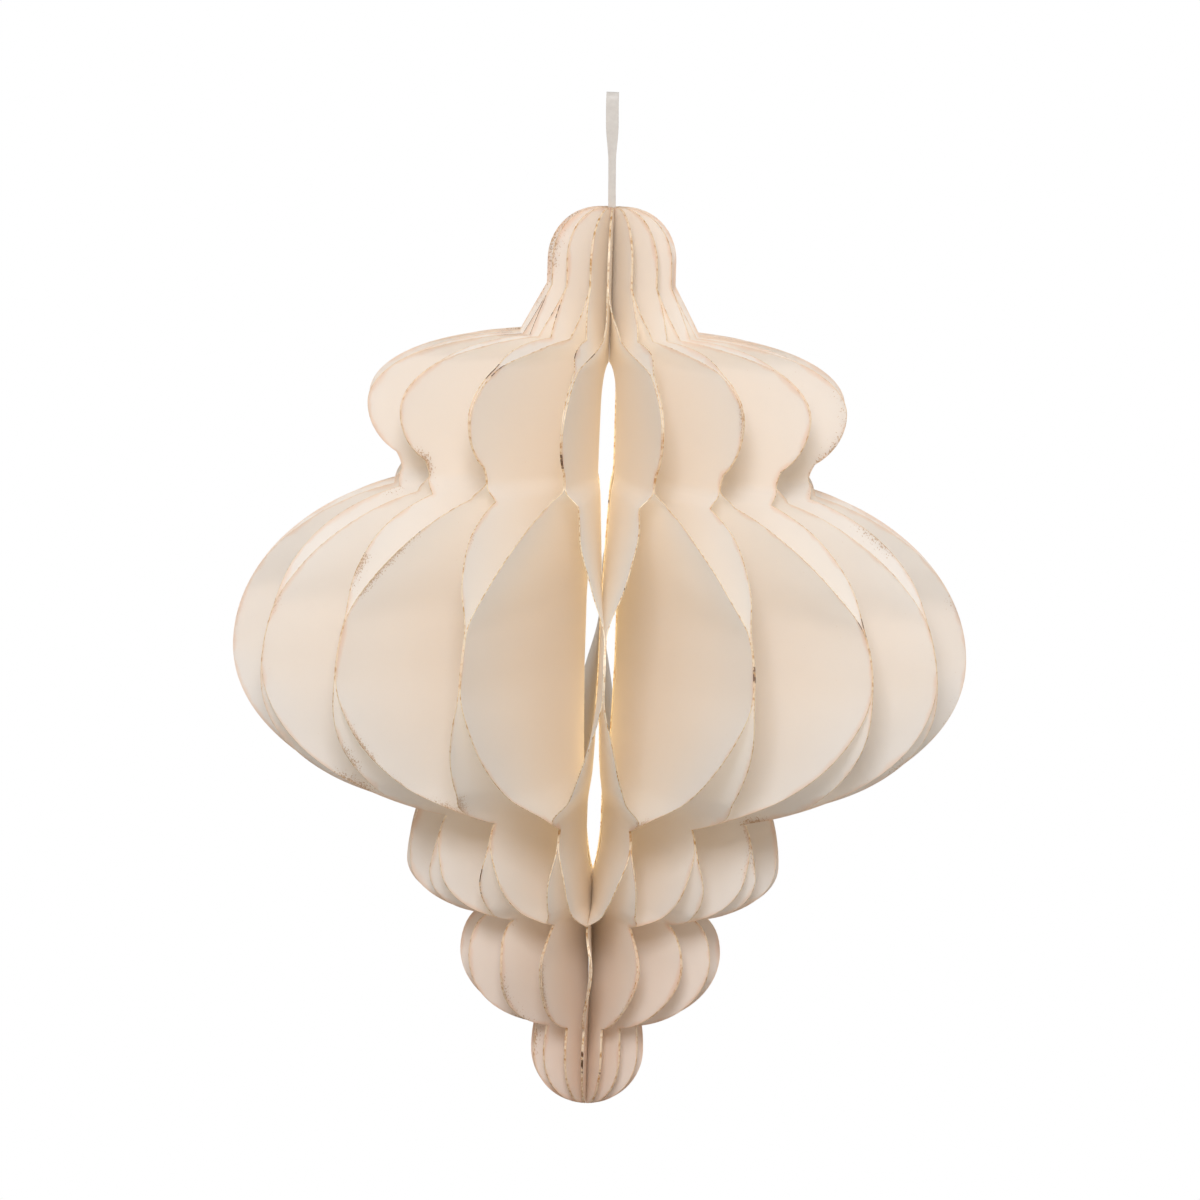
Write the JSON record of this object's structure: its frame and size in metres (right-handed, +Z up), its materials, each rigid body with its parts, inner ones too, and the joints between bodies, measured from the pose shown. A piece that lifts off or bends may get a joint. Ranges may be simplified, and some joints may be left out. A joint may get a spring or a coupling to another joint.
{
  "type": "honeycomb paper hanging ornament",
  "caption": "Hanging honeycomb ornament of die-cut card leaves, glued by turns at their edges round an open spine, in a lobed finial shape with a ribbon loop.",
  "frame": {"origin": "the hanging point: the top of the inside of the ribbon loop, on the spine's axis", "axes": "+Z up along the spine, -Y towards the viewer of the front, +X to that viewer's right"},
  "size_m": [0.2946, 0.2946, 0.4068],
  "materials": {
    "card": "matt cream card with foiled cut edges",
    "satin_ribbon": "white satin"
  },
  "bodies": {
    "root": {"hanging_ribbon": "satin_ribbon", "leaf_01": "card", "leaf_02": "card", "leaf_03": "card", "leaf_04": "card", "leaf_05": "card", "leaf_06": "card", "leaf_07": "card", "leaf_08": "card", "leaf_09": "card", "leaf_10": "card", "leaf_11": "card", "leaf_12": "card", "leaf_13": "card", "leaf_14": "card", "leaf_15": "card", "leaf_16": "card", "leaf_17": "card", "leaf_18": "card", "leaf_19": "card", "leaf_20": "card", "leaf_21": "card", "leaf_22": "card", "leaf_23": "card", "leaf_24": "card", "leaf_25": "card", "leaf_26": "card", "leaf_27": "card", "leaf_28": "card", "leaf_29": "card", "leaf_30": "card", "leaf_31": "card", "leaf_32": "card"}
  },
  "joints": []
}
